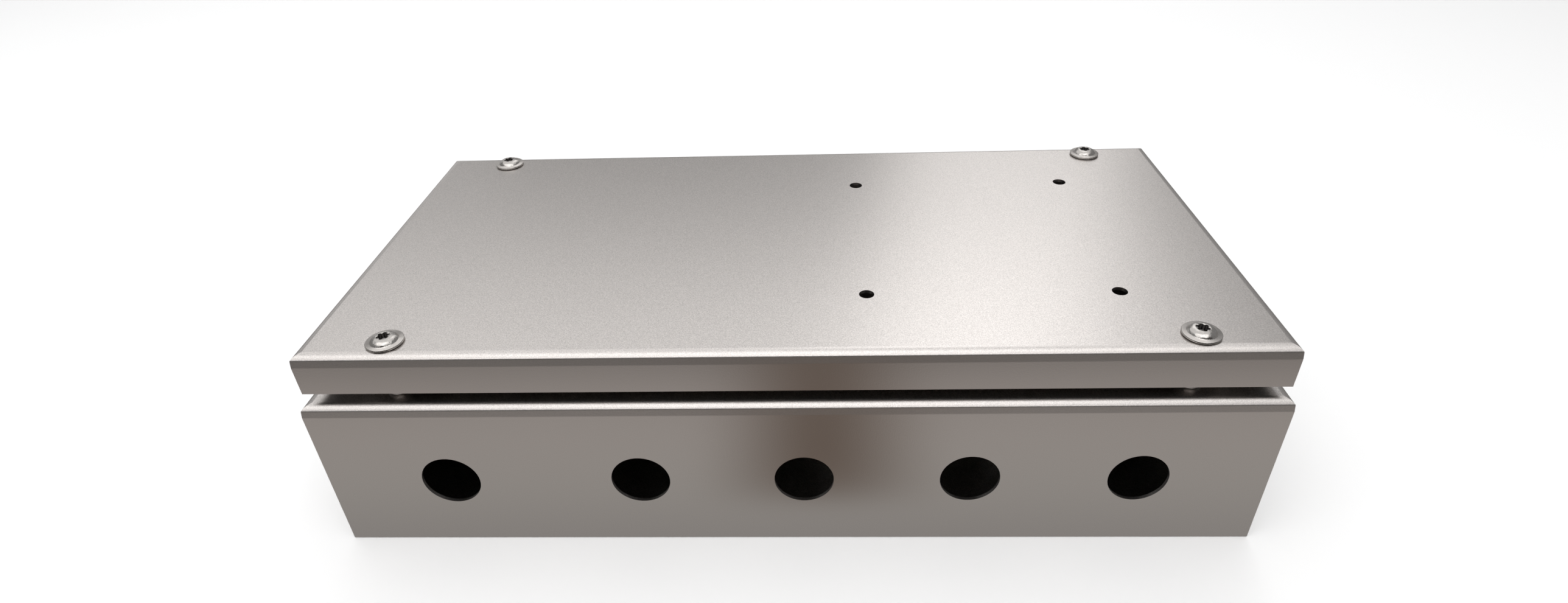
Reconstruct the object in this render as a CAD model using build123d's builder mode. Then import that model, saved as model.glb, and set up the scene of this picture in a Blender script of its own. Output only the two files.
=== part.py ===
from build123d import *
from math import cos, radians, sin, sqrt, tan
import os

# A folded stainless steel enclosure with a screwed lid, lying on its back with the lid uppermost.
# Millimetres. The origin is the middle of the underside, +X runs along the long side,
# the cable entries are in the -Y wall and +Z points up through the lid.

# Sheet metal. A bend turns out of the flat top over a soft shoulder, down to a tight ridge.
# Below the ridge the wall leans out by a few degrees, as far as the press held the sheet.
# Radii are in order from the wall up: where the wall starts to lean, the ridge, the shoulder.
sheet = 1.2
ridge_drop = 1.5
ridge_back = 0.27
shoulder_angle = 50.0
wall_lean = 6.0
outside_radii = (4.0, 0.7, 3.7)
inside_radii = (2.8, 0.3, 1.8)
neck_bend_inside = 1.3

# Body
body_length = 320.0
body_width = 158.0
body_height = 61.5
flange_width = 17.0
floor_edge_radius = 0.4

# Cable entries in the front wall: an even run on the right and a lone hole at the left end
entry_diameter = 20.2
entry_height = 28.8
entry_from_end = 43.0
entry_pitch = 56.0
entry_run = 4

# Fixing holes in the floor, for screws into a wall or a panel
fixing_diameter = 7.0
fixing_from_end = 60.0
fixing_from_side = 34.0

# Lid
lid_set_in = 2.0
skirt_height = 14.75
skirt_gap = 4.5

# Square of holes in the lid for the device that is mounted on it
device_hole_diameter = 5.2
device_hole_pitch = 85.0
device_x = 69.5
device_y = -1.25

# Gasket, at its pressed thickness
gasket_thickness = 4.0
gasket_width = 9.0
gasket_beyond_neck = 1.5
gasket_corner = 3.0
gasket_lip_radius = 1.0

# Lid screws: button heads with a collar and a six-lobe recess
screw_from_end = 30.5
screw_from_side = 10.0
screw_diameter = 5.0
screw_length = 12.0
screw_point = 0.5
collar_diameter = 12.1
collar_thickness = 0.75
collar_rounding = 0.15
dome_diameter = 9.1
dome_top_angle = 8.0
head_height = 2.45
recess_size = 4.2
recess_waist = 3.1
recess_flute = 0.6
recess_rounding = 0.3
recess_depth = 1.9
recess_rim = 0.25

# Washers under the collars
washer_diameter = 11.4
washer_bore = 5.3
washer_thickness = 0.2

# Posts that carry the lid and take its screws
post_diameter = 8.0
post_chamfer = 0.8
post_tap_depth = 14.0
post_tap_chamfer = 0.3
spigot_diameter = 6.0
thread_clearance = 0.05
spigot_clearance = 0.05
screw_hole_diameter = 5.5

# Earth stud, welded to the floor, and what is on it from the floor up
earth_from_end = 35.0
earth_from_side = 38.0
earth_diameter = 6.0
earth_length = 16.0
earth_weld_diameter = 7.5
earth_weld_height = 0.6
toothed_diameter = 12.0
toothed_thickness = 0.8
tooth_count = 12
tooth_depth = 0.9
flat_diameter = 12.5
flat_thickness = 1.6
spring_diameter = 11.4
spring_thickness = 1.6
spring_slit = 1.0
nut_across_flats = 10.0
nut_height = 5.0
nut_chamfer_angle = 30.0
washer_play = 0.2

# Heights and half sizes that follow from the sizes above
ridge_angle = 90 - shoulder_angle - wall_lean
ridge_middle = shoulder_angle + ridge_angle / 2
shoulder_run = ridge_back + ridge_drop / tan(radians(shoulder_angle))
lean_run = ridge_drop + ridge_back / tan(radians(wall_lean))
half_length = body_length / 2
half_width = body_width / 2
lid_length = body_length - 2 * lid_set_in
lid_width = body_width - 2 * lid_set_in
skirt_bottom = body_height + skirt_gap
lid_top = skirt_bottom + skirt_height
lid_underside = lid_top - sheet
neck_top = lid_underside - gasket_thickness
neck_length = body_length - 2 * flange_width
neck_width = body_width - 2 * flange_width
washer_top = lid_top + washer_thickness
screw_x = half_length - screw_from_end
screw_y = half_width - screw_from_side
earth_x = half_length - earth_from_end
earth_y = half_width - earth_from_side

corners = {
    "front_left": (-screw_x, -screw_y),
    "front_right": (screw_x, -screw_y),
    "back_left": (-screw_x, screw_y),
    "back_right": (screw_x, screw_y),
}
entry_places = [half_length - entry_from_end - i * entry_pitch for i in range(entry_run)]
entry_places.append(-(half_length - entry_from_end))

os.makedirs("parts", exist_ok=True)


def upright(x, y, z):
    """The upright plane through a point, for a section that is turned about the vertical line there."""
    return Plane(origin=(x, y, z), x_dir=(1, 0, 0), z_dir=(0, -1, 0))


def vertical(x, y):
    """The vertical line through a point of the plan."""
    return Axis((x, y, 0), (0, 0, 1))


def bend_corners(side, top, inset):
    """The corners to round for one bend, set in from where a wall's outside would meet a top's."""
    pull = inset / cos(radians(ridge_angle / 2))
    return [
        (side - inset, top - lean_run - inset * tan(radians(wall_lean / 2))),
        (
            side - ridge_back - pull * sin(radians(ridge_middle)),
            top - ridge_drop - pull * cos(radians(ridge_middle)),
        ),
        (side - shoulder_run - inset * tan(radians(shoulder_angle / 2)), top - inset),
    ]


def bent_section(plane, half, bottom, top, inset, radii):
    """A pan's section, filled: upright sides, a flat top and a soft bend between."""
    right = bend_corners(half, top, inset)
    left = [(-side, height) for side, height in reversed(right)]
    with BuildSketch(plane) as section:
        with BuildLine():
            outline = FilletPolyline(
                (half - inset, bottom),
                *right,
                *left,
                (inset - half, bottom),
                radius=radii + radii[::-1],
            )
            Line(outline @ 1, outline @ 0)
        make_face()
    return section.sketch


def pan_block(length, width, bottom, top, inset=0, radii=outside_radii):
    """A pan filled solid: its ends and its long sides, each cut at the mitres, then joined."""
    long_section = bent_section(
        Plane.XZ.offset(width), length / 2, bottom, top, inset, radii
    )
    cross_section = bent_section(
        Plane.YZ.offset(length), width / 2, bottom, top, inset, radii
    )
    mitres_meet = (length - width) / 2
    with BuildPart() as ends:
        extrude(long_section, amount=2 * width, dir=(0, 1, 0))
        with BuildSketch():
            with BuildLine():
                Polyline(
                    (length / 2, -width / 2),
                    (length / 2, width / 2),
                    (mitres_meet, 0),
                    close=True,
                )
            make_face()
            mirror(about=Plane.YZ)
        extrude(amount=2 * top, mode=Mode.INTERSECT)
    with BuildPart() as block:
        extrude(cross_section, amount=2 * length, dir=(-1, 0, 0))
        with BuildSketch():
            with BuildLine():
                Polyline(
                    (-length / 2, -width / 2),
                    (length / 2, -width / 2),
                    (mitres_meet, 0),
                    (-mitres_meet, 0),
                    close=True,
                )
            make_face()
            mirror(about=Plane.XZ)
        extrude(amount=2 * top, mode=Mode.INTERSECT)
        add(ends)
    return block.part


def save(piece, name):
    piece.label = name
    export_step(piece, f"parts/{name}.step")


# Body: walls and inward flange of soft-bent sheet with mitred corners, the floor welded in and
# ground flush, and the flange turned up into a neck round the opening.
outside = pan_block(body_length, body_width, 0, body_height)
inside = pan_block(body_length, body_width, sheet, body_height, sheet, inside_radii)
neck_at = half_length - flange_width
opening_beyond = 2 * neck_bend_inside
with BuildPart() as enclosure_body:
    add(outside)
    floor_edges = enclosure_body.edges().group_by(Axis.Z)[0]
    fillet(floor_edges, radius=floor_edge_radius)
    add(inside, mode=Mode.SUBTRACT)
    with BuildSketch(Plane.XY.offset(body_height)):
        Rectangle(neck_length + opening_beyond, neck_width + opening_beyond)
    extrude(amount=-sheet, mode=Mode.SUBTRACT)
    with BuildLine() as neck_path:
        Polyline(
            (neck_at, 0),
            (neck_at, neck_width / 2),
            (-neck_at, neck_width / 2),
            (-neck_at, -neck_width / 2),
            (neck_at, -neck_width / 2),
            close=True,
        )
    with BuildSketch(Plane.XZ):
        with BuildLine():
            FilletPolyline(
                (neck_at + opening_beyond, body_height),
                (neck_at, body_height),
                (neck_at, neck_top),
                radius=neck_bend_inside,
            )
            offset(amount=sheet, side=Side.LEFT)
        make_face()
    sweep(path=neck_path.wire(), transition=Transition.RIGHT)
    with BuildSketch(Plane.XZ.offset(half_width)):
        with Locations(*[(x, entry_height) for x in entry_places]):
            Circle(entry_diameter / 2)
    extrude(amount=-2 * sheet, mode=Mode.SUBTRACT)
    with BuildSketch():
        with GridLocations(
            body_length - 2 * fixing_from_end, body_width - 2 * fixing_from_side, 2, 2
        ):
            Circle(fixing_diameter / 2)
    extrude(amount=sheet, mode=Mode.SUBTRACT)
    with BuildSketch(Plane.XY.offset(body_height)):
        with Locations(*corners.values()):
            Circle(spigot_diameter / 2)
    extrude(amount=-sheet, mode=Mode.SUBTRACT)
save(enclosure_body.part, "enclosure_body")

# Lid: a shallow pan with folded skirts, mitred and welded at the corners
lid_outside = pan_block(lid_length, lid_width, skirt_bottom, lid_top)
lid_inside = pan_block(lid_length, lid_width, skirt_bottom, lid_top, sheet, inside_radii)
with BuildPart() as lid:
    add(lid_outside)
    add(lid_inside, mode=Mode.SUBTRACT)
    with BuildSketch(Plane.XY.offset(lid_top)):
        with Locations((device_x, device_y)):
            with GridLocations(device_hole_pitch, device_hole_pitch, 2, 2):
                Circle(device_hole_diameter / 2)
        with Locations(*corners.values()):
            Circle(screw_hole_diameter / 2)
    extrude(amount=-sheet, mode=Mode.SUBTRACT)
save(lid.part, "lid")

# Gasket: one frame stuck under the lid, pressed on the rim of the neck
gasket_length = neck_length + 2 * gasket_beyond_neck
gasket_across = neck_width + 2 * gasket_beyond_neck
with BuildPart() as lid_gasket:
    with BuildSketch(Plane.XY.offset(neck_top)):
        RectangleRounded(gasket_length, gasket_across, gasket_corner)
        Rectangle(
            gasket_length - 2 * gasket_width,
            gasket_across - 2 * gasket_width,
            mode=Mode.SUBTRACT,
        )
    extrude(amount=gasket_thickness)
    fillet(lid_gasket.edges().group_by(Axis.Z)[0], radius=gasket_lip_radius)
save(lid_gasket.part, "lid_gasket")


def make_screw(x, y):
    """A lid screw with its collar on the washer at this place."""
    shank = screw_diameter / 2
    collar = collar_diameter / 2
    dome = dome_diameter / 2
    rim = recess_size / 2 + recess_rim
    dome_tangent = (cos(radians(dome_top_angle)), -sin(radians(dome_top_angle)))
    with BuildPart() as screw:
        with BuildSketch(upright(x, y, washer_top)):
            with BuildLine():
                Polyline(
                    (rim, head_height),
                    (0, head_height),
                    (0, -screw_length),
                    (shank - screw_point, -screw_length),
                    (shank, screw_point - screw_length),
                    (shank, 0),
                    (collar - collar_rounding, 0),
                    (collar, collar_rounding),
                    (collar, collar_thickness - collar_rounding),
                    (collar - collar_rounding, collar_thickness),
                    (dome, collar_thickness),
                )
                TangentArc(
                    (rim, head_height), (dome, collar_thickness), tangent=dome_tangent
                )
            make_face()
        revolve(axis=vertical(x, y))
        with BuildSketch(Plane.XY.offset(washer_top + head_height)) as recess:
            with Locations((x, y)):
                Circle(recess_size / 2)
                with PolarLocations(recess_waist / 2 + recess_flute, 6):
                    Circle(recess_flute, mode=Mode.SUBTRACT)
            fillet(recess.vertices(), radius=recess_rounding)
        extrude(amount=-recess_depth, mode=Mode.SUBTRACT)
    return screw.part


def make_washer(x, y):
    """The thin washer between a collar and the lid."""
    with BuildPart() as washer:
        with BuildSketch(Plane.XY.offset(lid_top)):
            with Locations((x, y)):
                Circle(washer_diameter / 2)
                Circle(washer_bore / 2, mode=Mode.SUBTRACT)
        extrude(amount=washer_thickness)
    return washer.part


def make_post(x, y):
    """A round tapped post, its spigot held in the flange and its top against the lid."""
    outer = post_diameter / 2
    bore = screw_diameter / 2 + thread_clearance
    spigot = spigot_diameter / 2 - spigot_clearance
    tap_bottom = lid_underside - post_tap_depth
    with BuildPart() as post:
        with BuildSketch(upright(x, y, 0)):
            with BuildLine():
                Polyline(
                    (0, body_height - sheet),
                    (spigot, body_height - sheet),
                    (spigot, body_height),
                    (outer - post_chamfer, body_height),
                    (outer, body_height + post_chamfer),
                    (outer, lid_underside - post_chamfer),
                    (outer - post_chamfer, lid_underside),
                    (bore + post_tap_chamfer, lid_underside),
                    (bore, lid_underside - post_tap_chamfer),
                    (bore, tap_bottom),
                    (0, tap_bottom - bore / 2),
                    close=True,
                )
            make_face()
        revolve(axis=vertical(x, y))
    return post.part


for corner, place in corners.items():
    save(make_screw(*place), f"lid_screw_{corner}")
    save(make_washer(*place), f"screw_washer_{corner}")
    save(make_post(*place), f"lid_post_{corner}")

# Earth stud, with a small weld collar at its foot
weld_top = sheet + earth_weld_height
with BuildPart() as earth_stud:
    with BuildSketch(upright(earth_x, earth_y, 0)):
        with BuildLine():
            Polyline(
                (0, sheet),
                (earth_weld_diameter / 2, sheet),
                (earth_diameter / 2, weld_top),
                (earth_diameter / 2, sheet + earth_length - screw_point),
                (earth_diameter / 2 - screw_point, sheet + earth_length),
                (0, sheet + earth_length),
                close=True,
            )
        make_face()
    revolve(axis=vertical(earth_x, earth_y))
save(earth_stud.part, "earth_stud")

# Toothed contact washer, which bites into the faces it is pressed on
washer_hole = earth_diameter / 2 + washer_play
with BuildPart() as earth_toothed_washer:
    with BuildSketch(Plane.XY.offset(weld_top)) as toothed:
        with Locations((earth_x, earth_y)):
            Circle(toothed_diameter / 2)
            Circle(washer_hole, mode=Mode.SUBTRACT)
            with PolarLocations(toothed_diameter / 2, tooth_count):
                Rectangle(2 * tooth_depth, tooth_depth, mode=Mode.SUBTRACT)
    extrude(amount=toothed_thickness)
save(earth_toothed_washer.part, "earth_toothed_washer")

flat_bottom = weld_top + toothed_thickness
with BuildPart() as earth_flat_washer:
    with BuildSketch(Plane.XY.offset(flat_bottom)):
        with Locations((earth_x, earth_y)):
            Circle(flat_diameter / 2)
            Circle(washer_hole, mode=Mode.SUBTRACT)
    extrude(amount=flat_thickness)
save(earth_flat_washer.part, "earth_flat_washer")

# Spring washer: a split ring, flat because the nut is tight on it
spring_bottom = flat_bottom + flat_thickness
with BuildPart() as earth_spring_washer:
    with BuildSketch(Plane.XY.offset(spring_bottom)):
        with Locations((earth_x, earth_y)):
            Circle(spring_diameter / 2)
            Circle(washer_hole, mode=Mode.SUBTRACT)
            Rectangle(
                spring_slit, spring_diameter, align=(Align.CENTER, Align.MAX), mode=Mode.SUBTRACT
            )
    extrude(amount=spring_thickness)
save(earth_spring_washer.part, "earth_spring_washer")

nut_bottom = spring_bottom + spring_thickness
nut_corner = nut_across_flats / sqrt(3)
nut_chamfer = (nut_corner - nut_across_flats / 2) * tan(radians(nut_chamfer_angle))
with BuildPart() as earth_nut:
    with BuildSketch(Plane.XY.offset(nut_bottom)):
        with Locations((earth_x, earth_y)):
            RegularPolygon(nut_across_flats / 2, 6, major_radius=False)
            Circle(earth_diameter / 2 + thread_clearance, mode=Mode.SUBTRACT)
    extrude(amount=nut_height)
    with BuildSketch(upright(earth_x, earth_y, nut_bottom)):
        with BuildLine():
            Polyline(
                (0, 0),
                (nut_across_flats / 2, 0),
                (nut_corner, nut_chamfer),
                (nut_corner, nut_height - nut_chamfer),
                (nut_across_flats / 2, nut_height),
                (0, nut_height),
                close=True,
            )
        make_face()
    revolve(axis=vertical(earth_x, earth_y), mode=Mode.INTERSECT)
save(earth_nut.part, "earth_nut")
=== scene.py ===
# %% [markdown]
# # A stainless steel enclosure
#
# The object is a low box of folded stainless sheet: a body with cable entries along one long
# wall, a screwed lid with a gasket under it, and four button-head screws.
# The model comes from CAD as a fixed frame, and this script gives it its finishes, its screw
# threads, a floor, soft light and a camera.
# Everything is in metres, with the cable entries towards -Y and the lid towards +Z.

# %% Load the measured model
import math

import bmesh
import bpy
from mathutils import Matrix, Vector


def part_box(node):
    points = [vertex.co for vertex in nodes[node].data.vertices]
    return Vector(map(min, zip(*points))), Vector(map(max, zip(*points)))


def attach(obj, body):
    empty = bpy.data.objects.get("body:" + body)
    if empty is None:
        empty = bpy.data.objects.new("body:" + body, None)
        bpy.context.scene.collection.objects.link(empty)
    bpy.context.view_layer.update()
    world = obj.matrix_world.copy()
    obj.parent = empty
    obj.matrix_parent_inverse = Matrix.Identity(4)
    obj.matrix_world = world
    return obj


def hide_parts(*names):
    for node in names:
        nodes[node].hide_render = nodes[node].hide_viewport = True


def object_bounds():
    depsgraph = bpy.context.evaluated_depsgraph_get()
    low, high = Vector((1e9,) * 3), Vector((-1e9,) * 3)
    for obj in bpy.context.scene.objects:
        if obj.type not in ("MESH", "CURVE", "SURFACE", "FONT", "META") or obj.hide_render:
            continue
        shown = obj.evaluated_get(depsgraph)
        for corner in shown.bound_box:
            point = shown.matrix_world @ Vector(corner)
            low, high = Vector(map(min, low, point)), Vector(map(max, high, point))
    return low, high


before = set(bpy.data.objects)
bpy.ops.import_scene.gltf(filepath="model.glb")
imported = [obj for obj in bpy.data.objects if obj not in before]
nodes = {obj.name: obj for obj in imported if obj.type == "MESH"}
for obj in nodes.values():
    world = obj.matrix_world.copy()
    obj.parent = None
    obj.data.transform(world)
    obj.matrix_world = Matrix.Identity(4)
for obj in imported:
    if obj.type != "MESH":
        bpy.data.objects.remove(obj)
cad_low, cad_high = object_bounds()
lid_low, lid_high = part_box("lid")
print("nodes:", len(nodes))
print("size in mm:", [round(1000 * side, 1) for side in cad_high - cad_low])

# %% [markdown]
# ## The camera
#
# The camera stands close to the box, a little right of its middle, and looks down on it.
# A short lens at a short distance makes the long front edge much wider than the back edge.
# The place, the turn and the lens were worked out from where the box's corners lie in the
# picture, so they are kept as measured values.

# %% Camera
CAMERA_PLACE = Vector((0.0104, -0.2901, 0.2398))
CAMERA_TURN = [math.radians(angle) for angle in (56.743, 1.808, 1.521)]
CAMERA_LENS = 19.713
SENSOR_WIDTH = 36.0
CLIP_RANGE = (0.01, 50.0)

camera_data = bpy.data.cameras.new("camera")
camera_data.lens = CAMERA_LENS
camera_data.sensor_width = SENSOR_WIDTH
camera_data.clip_start, camera_data.clip_end = CLIP_RANGE
camera = bpy.data.objects.new("camera", camera_data)
camera.location = CAMERA_PLACE
camera.rotation_euler = CAMERA_TURN
bpy.context.scene.collection.objects.link(camera)
bpy.context.scene.camera = camera
print("camera to lid in mm:", round(1000 * (CAMERA_PLACE - (lid_low + lid_high) / 2).length))

# %% [markdown]
# ## Helpers for shader trees
#
# Every finish and every board below is a small tree of shader nodes, and most of them need the
# same few steps: add a node, set its inputs by name, reckon with values, and turn a value into
# a colour. Written once here, they keep the later cells short enough to read as a list.


# %% Small helpers for shader trees
def new_material(name):
    """A node material with one principled shader, and what is needed to extend it."""
    material = bpy.data.materials.new(name)
    material.use_nodes = True
    tree = material.node_tree
    shader = tree.nodes["Principled BSDF"]
    return material, tree, shader


def add_node(tree, kind, **settings):
    """A shader node, with its own settings or its input values set by name."""
    node = tree.nodes.new(kind)
    for key, value in settings.items():
        if hasattr(node, key):
            setattr(node, key, value)
        else:
            node.inputs[key.replace("_", " ").title()].default_value = value
    return node


def maths(tree, operation, *values):
    """A maths node whose inputs are numbers or the outputs of other nodes."""
    node = add_node(tree, "ShaderNodeMath", operation=operation)
    for socket, value in zip(node.inputs, values):
        if isinstance(value, float):
            socket.default_value = value
        else:
            tree.links.new(value, socket)
    return node.outputs[0]


def colour_ramp(tree, value, stops):
    """Turns a value into a colour by (value, colour) stops in rising order."""
    lowest, highest = stops[0][0], stops[-1][0]
    along = add_node(tree, "ShaderNodeMapRange", from_min=lowest, from_max=highest)
    tree.links.new(value, along.inputs["Value"])
    ramp = add_node(tree, "ShaderNodeValToRGB")
    elements = ramp.color_ramp.elements
    for _ in stops[2:]:
        elements.new(0.5)
    for element, (at, colour) in zip(elements, stops):
        element.position = (at - lowest) / (highest - lowest)
        element.color = (*colour, 1)
    tree.links.new(along.outputs["Result"], ramp.inputs["Fac"])
    return ramp.outputs["Color"]


# %% [markdown]
# ## The floor
#
# The box lies on a pale matt board that runs past the edges of the picture.
# One large square does for it. It has no gloss, so that it keeps a soft shadow and nothing
# else, and the box stands out by its outline.

# %% Floor
FLOOR_HALF = 4.0
FLOOR_COLOUR = (0.92, 0.92, 0.92, 1.0)
FLOOR_ROUGHNESS = 0.9


def square(x_low, x_high, y_low, y_high, height):
    """The corners of a level rectangle, anticlockwise from above."""
    return [
        (x_low, y_low, height),
        (x_high, y_low, height),
        (x_high, y_high, height),
        (x_low, y_high, height),
    ]


def flat_piece(name, corners):
    """An object with one face, which stays out of the model as part of the stage."""
    mesh = bpy.data.meshes.new(name)
    mesh.from_pydata(corners, [], [(0, 1, 2, 3)])
    piece = bpy.data.objects.new(name, mesh)
    bpy.context.scene.collection.objects.link(piece)
    return piece


floor = flat_piece("floor", square(-FLOOR_HALF, FLOOR_HALF, -FLOOR_HALF, FLOOR_HALF, 0.0))
floor_material, floor_tree, floor_shader = new_material("pale_board")
floor_shader.inputs["Base Color"].default_value = FLOOR_COLOUR
floor_shader.inputs["Roughness"].default_value = FLOOR_ROUGHNESS
floor_shader.inputs["Specular IOR Level"].default_value = 0.0
floor.data.materials.append(floor_material)
print("floor in metres:", 2 * FLOOR_HALF)

# %% [markdown]
# ## Soft light
#
# Satin metal shows the room more than its own colour, so the room is laid out first.
# Area lamps stand for large white panels, and each is seen as a soft patch in the sheet.
# The overhead panel lights the lid from behind, and the narrow back strip puts the bright
# streak on its right half. The ridge panel hangs in front, high up, and draws the white line
# along the bends. The last lamp only lifts the floor, so reflections don't see it.

# %% World
WORLD_LEVEL = 0.3

world = bpy.data.worlds.new("studio")
world.use_nodes = True
bpy.context.scene.world = world
background = world.node_tree.nodes["Background"]
background.inputs["Color"].default_value = (1, 1, 1, 1)
background.inputs["Strength"].default_value = WORLD_LEVEL
print("world level:", WORLD_LEVEL)


# %% Panels
def soft_panel(name, place, target, size, level):
    """A rectangular lamp that faces a point. Its level is the brightness a mirror would show."""
    lamp = bpy.data.lights.new(name, "AREA")
    lamp.shape = "RECTANGLE"
    lamp.size, lamp.size_y = size
    lamp.energy = level * math.pi * lamp.size * lamp.size_y
    panel = bpy.data.objects.new(name, lamp)
    panel.location = place
    facing = Vector(target) - Vector(place)
    panel.rotation_euler = facing.to_track_quat("-Z", "Y").to_euler()
    panel.visible_camera = False
    bpy.context.scene.collection.objects.link(panel)
    print(name, "level:", level)
    return panel


soft_panel("overhead_panel", (-0.32, 0.6, 1.2), (-0.32, 0.6, 0.0), size=(2.6, 2.6), level=0.8)
soft_panel("ridge_panel", (-0.35, -0.75, 1.3), (-0.35, -0.08, 0.08), size=(2.6, 1.0), level=1.15)
soft_panel("front_strip", (0.0, -0.85, 1.05), (0.0, -0.08, 0.08), size=(1.0, 0.45), level=1.0)
soft_panel("back_strip", (0.43, 1.5, 1.3), (0.07, 0.0, 0.0), size=(0.6, 2.2), level=0.72)
soft_panel("left_backdrop", (-1.75, 1.95, 0.32), (-1.75, 0.0, 0.32), size=(1.7, 0.56), level=0.5)
floor_fill = soft_panel("floor_fill", (0.0, 0.0, 2.5), (0.0, 0.0, 0.0), size=(3.0, 3.0), level=0.5)
floor_fill.visible_glossy = False

# %% [markdown]
# ## Boards that only the metal sees
#
# The front wall and the skirt mirror what lies on the floor in front of the box, a different
# strip of it for each tilt of the sheet. So a board is laid there whose tone changes with the
# distance from the box: mid grey close by, which the walls show, and nearly black further out,
# which gives the dark line under each ridge. A darker brown patch in it dims the middle of the
# walls. A dark flag stands behind that board, and two more boards lie beside the box for its
# end bends. The camera doesn't see any of them, and they cast no light or shadow.


# %% Tones of a board
def fading(tree, value, full, none):
    """A soft step: 1 up to one value and 0 from another."""
    step = add_node(
        tree,
        "ShaderNodeMapRange",
        interpolation_type="SMOOTHSTEP",
        from_min=full,
        from_max=none,
        to_min=1.0,
        to_max=0.0,
    )
    tree.links.new(value, step.inputs["Value"])
    return step.outputs["Result"]


def with_patch(tree, colour, place, middle, half_width, near_line, full_line, tone):
    """Lays a soft-edged patch over a colour, round a middle in X and beyond a line in Y."""
    off_middle = maths(tree, "ABSOLUTE", maths(tree, "SUBTRACT", place.outputs["X"], middle))
    across = fading(tree, off_middle, 0.0, half_width)
    along = fading(tree, place.outputs["Y"], full_line, near_line)
    mixed = add_node(tree, "ShaderNodeMix", data_type="RGBA")
    mixed.inputs["B"].default_value = (*tone, 1)
    tree.links.new(maths(tree, "MULTIPLY", across, along), mixed.inputs["Factor"])
    tree.links.new(colour, mixed.inputs["A"])
    return mixed.outputs["Result"]


# %% Boards
def board(name, corners, tones, patch=None):
    """A glowing board that only reflections see. Its tones run along Y."""
    shape = flat_piece(name, corners)
    material = bpy.data.materials.new(name)
    material.use_nodes = True
    tree = material.node_tree
    tree.nodes.clear()
    glow = add_node(tree, "ShaderNodeEmission")
    output = add_node(tree, "ShaderNodeOutputMaterial")
    tree.links.new(glow.outputs[0], output.inputs["Surface"])
    if len(tones) == 1:
        glow.inputs["Color"].default_value = (*tones[0][1], 1)
    else:
        where = add_node(tree, "ShaderNodeTexCoord")
        place = add_node(tree, "ShaderNodeSeparateXYZ")
        tree.links.new(where.outputs["Object"], place.inputs[0])
        colour = colour_ramp(tree, place.outputs["Y"], tones)
        if patch:
            colour = with_patch(tree, colour, place, **patch)
        tree.links.new(colour, glow.inputs["Color"])
    shape.data.materials.append(material)
    shape.visible_camera = False
    shape.visible_diffuse = False
    shape.visible_shadow = False
    print(name, "tones:", len(tones))
    return shape


# %% Boards in front of the box and beside it
BOARD_HEIGHT = 0.00005
BOARD_REACH = 2.5
FRONT_REACH = 1.25
FLAG_TOP = 0.98
SIDE_START = 0.1603
SIDE_DEPTH = 2.0
FAR_DARK = (0.045, 0.042, 0.04)
SIDE_DARK = (0.12, 0.11, 0.105)
FRONT_TONES = [
    (-FRONT_REACH, FAR_DARK),
    (-0.4, FAR_DARK),
    (-0.24, (0.14, 0.131, 0.124)),
    (-0.192, (0.15, 0.14, 0.133)),
    (-0.18, (0.36, 0.334, 0.319)),
    (-0.158, (0.485, 0.452, 0.433)),
    (-0.105, (0.42, 0.408, 0.39)),
    (-0.08, (0.36, 0.35, 0.34)),
    (0.0, (0.33, 0.32, 0.31)),
]
SIDE_TONES = [(0.0, (0.31, 0.30, 0.29)), (0.11, SIDE_DARK), (SIDE_DEPTH, SIDE_DARK)]
BROWN_PATCH = {
    "middle": 0.011,
    "half_width": 0.056,
    "near_line": -0.092,
    "full_line": -0.108,
    "tone": (0.166, 0.128, 0.104),
}

board(
    "front_board",
    square(-BOARD_REACH, BOARD_REACH, -FRONT_REACH, 0.0, BOARD_HEIGHT),
    FRONT_TONES,
    BROWN_PATCH,
)
board(
    "low_flag",
    [
        (-BOARD_REACH, -FRONT_REACH, 0.0),
        (BOARD_REACH, -FRONT_REACH, 0.0),
        (BOARD_REACH, -FRONT_REACH, FLAG_TOP),
        (-BOARD_REACH, -FRONT_REACH, FLAG_TOP),
    ],
    [(0.0, FAR_DARK)],
)
board(
    "left_board",
    square(-BOARD_REACH, -SIDE_START, 0.0, SIDE_DEPTH, BOARD_HEIGHT),
    SIDE_TONES,
)
board(
    "right_board",
    square(SIDE_START, BOARD_REACH, 0.0, SIDE_DEPTH, BOARD_HEIGHT),
    SIDE_TONES,
)

# %% [markdown]
# ## Finishes
#
# All the finishes are made of noise on object coordinates, so they stay on the metal when a
# part moves. Three helpers do the work: one makes the noise, one turns it into a tilt of the
# surface, and one lets a value of the shader follow it between two ends.


# %% Noise, bump and variation
def noise(tree, scale, detail=2.0, stretch=None):
    """Noise on object coordinates, in features per metre. A stretch squeezes it along some axes."""
    place = add_node(tree, "ShaderNodeTexCoord")
    where = place.outputs["Object"]
    if stretch:
        squeeze = add_node(tree, "ShaderNodeMapping")
        squeeze.inputs["Scale"].default_value = stretch
        tree.links.new(where, squeeze.inputs["Vector"])
        where = squeeze.outputs["Vector"]
    texture = add_node(tree, "ShaderNodeTexNoise", scale=scale, detail=detail)
    tree.links.new(where, texture.inputs["Vector"])
    return texture.outputs["Fac"]


def bump(tree, shader, height, depth, below=None):
    """Tilts the surface by a height field that is depth metres deep."""
    node = add_node(tree, "ShaderNodeBump", distance=depth, strength=1.0)
    tree.links.new(height, node.inputs["Height"])
    if below:
        tree.links.new(below.outputs["Normal"], node.inputs["Normal"])
    tree.links.new(node.outputs["Normal"], shader.inputs["Normal"])
    return node


NOISE_LOW, NOISE_HIGH = 0.3, 0.7


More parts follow.
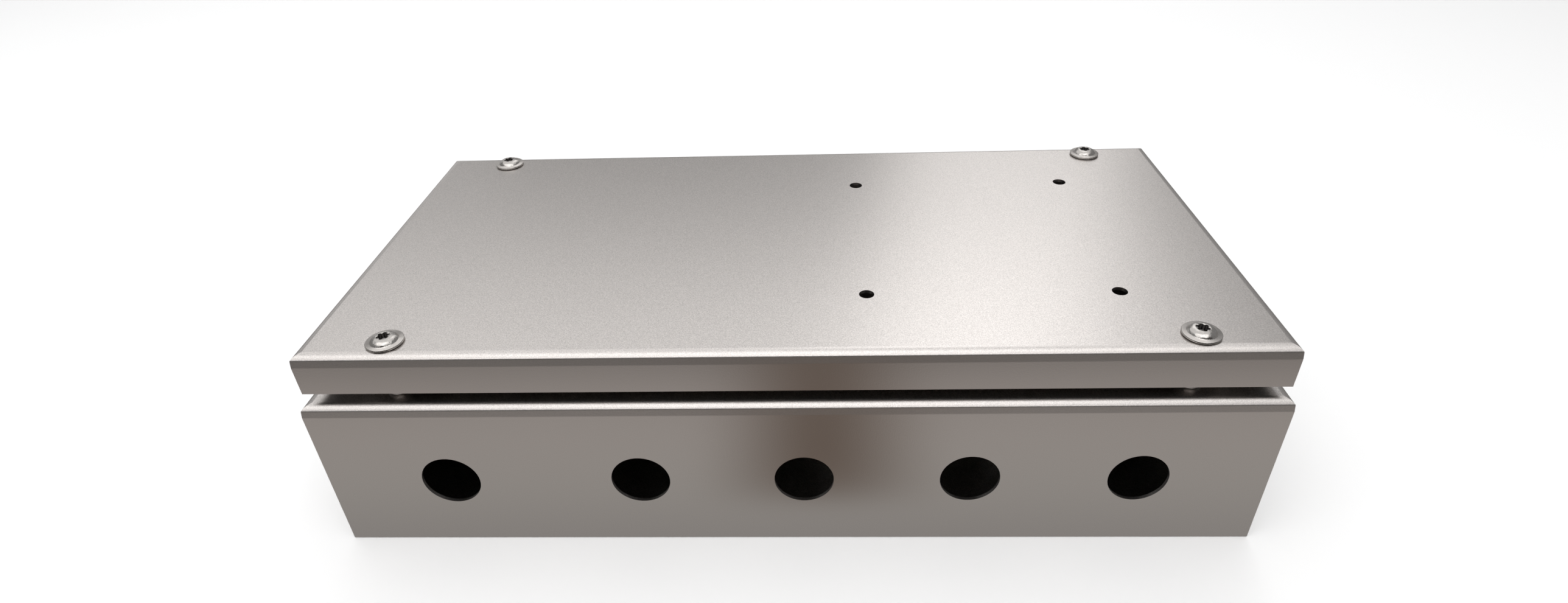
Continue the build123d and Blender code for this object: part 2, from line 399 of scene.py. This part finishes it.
def vary(tree, shader, name, factor, low, high):
    """Lets one value of the shader follow a noise between two ends."""
    spread = add_node(tree, "ShaderNodeMapRange", from_min=NOISE_LOW, from_max=NOISE_HIGH)
    tree.links.new(factor, spread.inputs["Value"])
    if isinstance(low, tuple):
        tint = add_node(tree, "ShaderNodeMix", data_type="RGBA")
        tint.inputs["A"].default_value = (*low, 1)
        tint.inputs["B"].default_value = (*high, 1)
        tree.links.new(spread.outputs["Result"], tint.inputs["Factor"])
        tree.links.new(tint.outputs["Result"], shader.inputs[name])
    else:
        spread.inputs["To Min"].default_value = low
        spread.inputs["To Max"].default_value = high
        tree.links.new(spread.outputs["Result"], shader.inputs[name])


def new_metal(name, colour=None):
    """A metal: a node material whose colour, if it is even, sits on the shader itself."""
    material, tree, shader = new_material(name)
    shader.inputs["Metallic"].default_value = 1.0
    if colour:
        shader.inputs["Base Color"].default_value = (*colour, 1)
    return material, tree, shader


# %% [markdown]
# ## Satin sheet
#
# The body and the lid are blasted stainless sheet. Close up it is a field of tiny pits, some
# lighter and some darker, which shows most on what faces up and hardly at all on the walls.
# Folding stretches the sheet over the bend, and there its gloss is softer.
# Both depend on which way the surface faces, so the tree reads the height of the surface's
# normal: 1 where it faces up, 0 on a wall.

# %% Satin sheet, for the body and the lid
PIT_SCALE = 2000.0
PIT_DEPTH = 0.00002
SPECKLE_SCALE = 3000.0
WALL_SPECKLE = 0.03
TOP_SPECKLE = 0.2
SHEET_TINT = (0.62, 0.587, 0.565)
FLAT_ROUGHNESS = 0.3
BEND_ROUGHNESS = 0.44
SOFT_BENDS = [
    (0.0, FLAT_ROUGHNESS),
    (0.04, FLAT_ROUGHNESS),
    (0.1, BEND_ROUGHNESS),
    (0.8, BEND_ROUGHNESS),
    (0.99, FLAT_ROUGHNESS),
    (1.0, FLAT_ROUGHNESS),
]


def satin_sheet():
    """Stainless sheet with fine pits, a speckle on what faces up and soft bends."""
    material, tree, shader = new_metal("satin_sheet")
    links = tree.links
    place = add_node(tree, "ShaderNodeTexCoord")
    facing = add_node(tree, "ShaderNodeSeparateXYZ")
    links.new(place.outputs["Normal"], facing.inputs[0])
    up = facing.outputs["Z"]

    strength = maths(tree, "MULTIPLY_ADD", up, TOP_SPECKLE - WALL_SPECKLE, WALL_SPECKLE)
    speckle = maths(tree, "MULTIPLY_ADD", noise(tree, SPECKLE_SCALE), 5.0, -2.5)
    tint = add_node(tree, "ShaderNodeVectorMath", operation="SCALE")
    tint.inputs["Vector"].default_value = SHEET_TINT
    links.new(maths(tree, "MULTIPLY_ADD", speckle, strength, 1.0), tint.inputs["Scale"])
    links.new(tint.outputs["Vector"], shader.inputs["Base Color"])

    softness = [(tilt, (roughness,) * 3) for tilt, roughness in SOFT_BENDS]
    links.new(colour_ramp(tree, up, softness), shader.inputs["Roughness"])
    bump(tree, shader, noise(tree, PIT_SCALE), PIT_DEPTH)
    return material


# %% [markdown]
# ## The screws' three finishes
#
# A cold-headed screw is bright on its dome, where shallow dents break up the highlights.
# Its collar was stamped flat and is an even satin, and the recess is painted nearly black as the
# shade that falls in it. Three small materials do this, and the faces are sorted by
# their distance from the screw's axis when the threads are made.

# %% Bright dome, satin collar and dark recess
DENT_SCALE, DENT_DEPTH = 600.0, 0.00016
SCRATCH_SCALE, SCRATCH_DEPTH = 3000.0, 0.00003
COLLAR_GRAIN_SCALE, COLLAR_GRAIN_DEPTH = 2600.0, 0.00004


def bright_steel():
    """Cold-headed stainless: smooth, with shallow dents that break up its highlights."""
    material, tree, shader = new_metal("bright_steel", (0.49, 0.467, 0.445))
    vary(tree, shader, "Roughness", noise(tree, 900.0), 0.17, 0.32)
    dents = bump(tree, shader, noise(tree, DENT_SCALE, 1.0), DENT_DEPTH)
    bump(tree, shader, noise(tree, SCRATCH_SCALE), SCRATCH_DEPTH, dents)
    return material


def collar_steel():
    """The stamped collar: an even satin."""
    material, tree, shader = new_metal("collar_steel", (0.54, 0.512, 0.488))
    vary(tree, shader, "Roughness", noise(tree, 900.0), 0.40, 0.50)
    bump(tree, shader, noise(tree, COLLAR_GRAIN_SCALE), COLLAR_GRAIN_DEPTH)
    return material


def recess_painted_shade():
    """Steel inside a recess, painted nearly black as the shade that falls there."""
    material, tree, shader = new_metal("recess_painted_shade", (0.02, 0.018, 0.017))
    vary(tree, shader, "Roughness", noise(tree, 2000.0), 0.35, 0.5)
    return material


# %% [markdown]
# ## Turned steel and rubber
#
# The posts, the stud, its nut and its washers come off a lathe, which leaves fine lines round
# an upright axis: noise that is squeezed very flat. The gasket is foam rubber with open pores,
# and the washers under the screws are smooth black rubber.

# %% Turned posts, stud, nut and washers
LATHE_LINES = (120.0, 120.0, 9000.0)
LINE_DEPTH = 0.00001


def turned_steel():
    """Fine lines round an upright axis, as a lathe leaves them."""
    material, tree, shader = new_metal("turned_steel", (0.56, 0.54, 0.52))
    lines = noise(tree, 1.0, 1.0, LATHE_LINES)
    vary(tree, shader, "Roughness", lines, 0.22, 0.36)
    bump(tree, shader, lines, LINE_DEPTH)
    return material


# %% Rubber gasket and black washers
PORE_SCALE, PORE_DEPTH = 1800.0, 0.00012


def gasket_rubber():
    """Matt foam rubber with fine pores."""
    material, tree, shader = new_material("gasket_rubber")
    pores = noise(tree, PORE_SCALE, 3.0)
    vary(tree, shader, "Base Color", pores, (0.018, 0.018, 0.018), (0.04, 0.04, 0.04))
    shader.inputs["Roughness"].default_value = 0.85
    bump(tree, shader, pores, PORE_DEPTH)
    return material


def washer_black():
    """Smooth black rubber."""
    material, tree, shader = new_material("washer_black")
    shader.inputs["Base Color"].default_value = (0.012, 0.012, 0.012, 1)
    vary(tree, shader, "Roughness", noise(tree, 1200.0), 0.5, 0.7)
    return material


# %% [markdown]
# ## Every part gets its finish
#
# Each CAD node arrives with one material, named by the slot that the part's source gave it.
# A dictionary from slot to finish is enough to dress them all, and one material serves every
# part of its kind.

# %% Finishes by slot
FINISHES = {
    "stainless_sheet": satin_sheet(),
    "bright_stainless": bright_steel(),
    "turned_stainless": turned_steel(),
    "gasket_rubber": gasket_rubber(),
    "washer_black": washer_black(),
}
for node in nodes.values():
    slot = node.data.materials[0].name
    node.data.materials[0] = FINISHES[slot]
print("finishes:", list(FINISHES))

# %% [markdown]
# ## Threads
#
# The CAD screws and the earth stud have plain shanks, as wide as the crests of their threads.
# A real thread is one ridge that winds round a thinner core. It could be cut out of the shank,
# but a ridge that is added to a narrowed shank is far quicker and never fails.
# Geometry Nodes suit it, because the ridge follows a rule: a helix, with a small trapezium
# swept along it, which fades in over its first turn and out over its last one.
# The same tree serves the screws and the stud, with other sizes.

# %% The line that the thread winds along
HELIX_STEPS = 36


def wound_line(tree, given):
    """A right-handed helix round an upright axis, whose section stays level."""
    links = tree.links
    helix = tree.nodes.new("GeometryNodeCurveSpiral")
    helix.inputs["Resolution"].default_value = HELIX_STEPS
    helix.inputs["Reverse"].default_value = True
    links.new(given["Turns"], helix.inputs["Rotations"])
    links.new(given["Core Radius"], helix.inputs["Start Radius"])
    links.new(given["Core Radius"], helix.inputs["End Radius"])
    links.new(maths(tree, "MULTIPLY", given["Turns"], given["Pitch"]), helix.inputs["Height"])
    level = tree.nodes.new("GeometryNodeSetCurveNormal")
    level.mode = "Z_UP"
    links.new(helix.outputs["Curve"], level.inputs["Curve"])
    return level.outputs["Curve"]


# %% The section of its ridge
FOOT_SHARE = 0.9
CREST_SHARE = 0.14
RIDGE_TURN = math.radians(-90)
RIDGE_SHIFT = 0.5


def ridge_section(tree, given):
    """A trapezium that stands on the core, with its narrow crest outwards."""
    links = tree.links
    ridge = tree.nodes.new("GeometryNodeCurvePrimitiveQuadrilateral")
    ridge.mode = "TRAPEZOID"
    ridge.inputs["Offset"].default_value = 0.0
    links.new(given["Depth"], ridge.inputs["Height"])
    links.new(maths(tree, "MULTIPLY", given["Pitch"], FOOT_SHARE), ridge.inputs["Bottom Width"])
    links.new(maths(tree, "MULTIPLY", given["Pitch"], CREST_SHARE), ridge.inputs["Top Width"])
    outward = tree.nodes.new("ShaderNodeCombineXYZ")
    links.new(maths(tree, "MULTIPLY", given["Depth"], RIDGE_SHIFT), outward.inputs["X"])
    stand = tree.nodes.new("GeometryNodeTransform")
    stand.inputs["Rotation"].default_value = (0.0, 0.0, RIDGE_TURN)
    links.new(ridge.outputs["Curve"], stand.inputs["Geometry"])
    links.new(outward.outputs["Vector"], stand.inputs["Translation"])
    return stand.outputs["Geometry"]


# %% The ridge, faded at both ends
FADE_LOWEST = 0.02


def faded_sweep(tree, given, line, section):
    """The section swept along the line, small at both ends and whole in between."""
    links = tree.links
    along = tree.nodes.new("GeometryNodeSplineParameter")
    from_start = maths(tree, "MULTIPLY", along.outputs["Factor"], given["Turns"])
    to_end = maths(tree, "SUBTRACT", given["Turns"], from_start)
    fade = maths(tree, "MINIMUM", maths(tree, "MINIMUM", from_start, to_end), 1.0)
    sweep = tree.nodes.new("GeometryNodeCurveToMesh")
    sweep.inputs["Fill Caps"].default_value = True
    links.new(line, sweep.inputs["Curve"])
    links.new(section, sweep.inputs["Profile Curve"])
    links.new(maths(tree, "MAXIMUM", fade, FADE_LOWEST), sweep.inputs["Scale"])
    lift = tree.nodes.new("GeometryNodeTransform")
    links.new(sweep.outputs["Mesh"], lift.inputs["Geometry"])
    links.new(given["Start"], lift.inputs["Translation"])
    return lift.outputs["Geometry"]


# %% The whole tree
THREAD_SIZES = ("Turns", "Pitch", "Core Radius", "Depth")


def thread_tree():
    """Geometry Nodes that add a wound ridge to a shank on an upright axis."""
    tree = bpy.data.node_groups.new("wound_thread", "GeometryNodeTree")
    face = tree.interface
    face.new_socket("Shank", in_out="INPUT", socket_type="NodeSocketGeometry")
    for name in THREAD_SIZES:
        face.new_socket(name, in_out="INPUT", socket_type="NodeSocketFloat")
    face.new_socket("Start", in_out="INPUT", socket_type="NodeSocketVector")
    face.new_socket("Finish", in_out="INPUT", socket_type="NodeSocketMaterial")
    face.new_socket("Threaded", in_out="OUTPUT", socket_type="NodeSocketGeometry")
    links = tree.links
    given = tree.nodes.new("NodeGroupInput").outputs
    result = tree.nodes.new("NodeGroupOutput")

    ridge = faded_sweep(tree, given, wound_line(tree, given), ridge_section(tree, given))
    joined = tree.nodes.new("GeometryNodeJoinGeometry")
    links.new(given["Shank"], joined.inputs["Geometry"])
    links.new(ridge, joined.inputs["Geometry"])
    real = tree.nodes.new("GeometryNodeRealizeInstances")
    links.new(joined.outputs["Geometry"], real.inputs["Geometry"])
    finish = tree.nodes.new("GeometryNodeSetMaterial")
    links.new(real.outputs["Geometry"], finish.inputs["Geometry"])
    links.new(given["Finish"], finish.inputs["Material"])
    links.new(finish.outputs["Geometry"], result.inputs["Threaded"])
    return tree


thread = thread_tree()
thread_inputs = {item.name: item.identifier for item in thread.interface.items_tree}
print("thread inputs:", list(thread_inputs))

# %% [markdown]
# ## From a CAD piece to a threaded one
#
# A CAD piece must stay as it is, so a copy of its mesh is worked on, and the result takes the
# piece's place. The copy arrives as loose triangles: its doubles are merged first, and then
# the shank's outer points are drawn in to the core of the thread.
# The modifier is only a tool here. Its result is made a plain mesh, and the draft is deleted.

# %% Narrowing the shank
NEAR = 0.00001
MERGE_DISTANCE = 0.0000001
SHANK_REACH = 1.5


def narrowed(node, core, low, high):
    """A copy of a CAD piece whose shank, between two heights, is narrowed to a core radius."""
    corner_low, corner_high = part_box(node)
    axis = (corner_low + corner_high) / 2
    mesh = nodes[node].data.copy()
    shape = bmesh.new()
    shape.from_mesh(mesh)
    bmesh.ops.remove_doubles(shape, verts=shape.verts, dist=MERGE_DISTANCE)
    for vertex in shape.verts:
        away = Vector((vertex.co.x - axis.x, vertex.co.y - axis.y))
        on_shank = low - NEAR < vertex.co.z < high + NEAR
        if on_shank and core < away.length < SHANK_REACH * core:
            away = core * away.normalized()
            vertex.co.x = axis.x + away.x
            vertex.co.y = axis.y + away.y
    shape.to_mesh(mesh)
    shape.free()
    return mesh, axis


# %% Winding the thread
def wound(name, shank, values):
    """The shank with its ridge, as a plain mesh. The values are the tree's inputs by name."""
    draft = bpy.data.objects.new(name + "_draft", shank)
    bpy.context.scene.collection.objects.link(draft)
    winding = draft.modifiers.new("thread", "NODES")
    winding.node_group = thread
    for key, value in values.items():
        winding[thread_inputs[key]] = value
    evaluated = draft.evaluated_get(bpy.context.evaluated_depsgraph_get())
    solid = bpy.data.meshes.new_from_object(evaluated)
    bpy.data.objects.remove(draft)
    solid.name = name
    return solid


def zone_finishes(solid, axis, base, zones):
    """Gives each zone above a height its own finish: the faces between two radii."""
    for index, (finish, inner, outer) in enumerate(zones, start=1):
        solid.materials.append(finish)
        for face in solid.polygons:
            away = math.hypot(face.center.x - axis.x, face.center.y - axis.y)
            if inner <= away < outer and base < face.center.z < cad_high.z - NEAR:
                face.material_index = index


# %% A threaded piece
SHARP_EDGE = math.radians(30)
RUN_OUT = 0.0006


def threaded(name, node, body, sizes, low, high, zones=()):
    """The piece that stands for a CAD piece, with a real thread on its shank."""
    core, crest, pitch = sizes
    shank, axis = narrowed(node, core, low, high)
    finish = nodes[node].data.materials[0]
    values = {
        "Turns": (high - low - 2 * RUN_OUT) / pitch,
        "Pitch": pitch,
        "Core Radius": core,
        "Depth": crest - core,
        "Start": (axis.x, axis.y, low + RUN_OUT),
        "Finish": finish,
    }
    solid = wound(name, shank, values)
    solid.materials.clear()
    solid.materials.append(finish)
    zone_finishes(solid, axis, high, zones)
    solid.shade_smooth()
    solid.set_sharp_from_angle(angle=SHARP_EDGE)
    piece = bpy.data.objects.new(name, solid)
    bpy.context.scene.collection.objects.link(piece)
    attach(piece, body)
    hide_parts(node)
    print(name, "faces:", len(solid.polygons))
    return piece


# %% [markdown]
# ## The lid screws and the earth stud
#
# The lid screws are M5 and the stud is M6. Each thread has three sizes: the radius of its
# core, the radius of its crest and its pitch. It runs from the screw's tip to the washer under
# its head, and on the stud from the first washer to the top.
# The zones of a screw's head are the recess, within 2.12 mm of the axis, painted nearly black as
# shade, and the collar.

# %% Screws
SCREW_THREAD = (0.002, 0.00248, 0.0008)
HEAD_ZONES = ((recess_painted_shade(), 0.0, 0.00212), (collar_steel(), 0.0047, 0.0059))
CORNERS = ("front_left", "front_right", "back_left", "back_right")

for corner in CORNERS:
    screw = threaded(
        f"threaded_screw_{corner}",
        f"lid_screw_{corner}",
        f"screw_{corner}",
        SCREW_THREAD,
        low=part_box(f"lid_screw_{corner}")[0].z,
        high=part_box(f"screw_washer_{corner}")[1].z,
        zones=HEAD_ZONES,
    )

# %% Stud
STUD_THREAD = (0.00243, 0.00298, 0.001)

stud = threaded(
    "threaded_earth_stud",
    "earth_stud",
    "enclosure",
    STUD_THREAD,
    low=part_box("earth_toothed_washer")[0].z,
    high=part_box("earth_stud")[1].z,
)

# %% [markdown]
# ## The view transform
#
# The Standard view shows colours as they are written.

# %% Standard view
bpy.context.scene.view_settings.view_transform = "Standard"
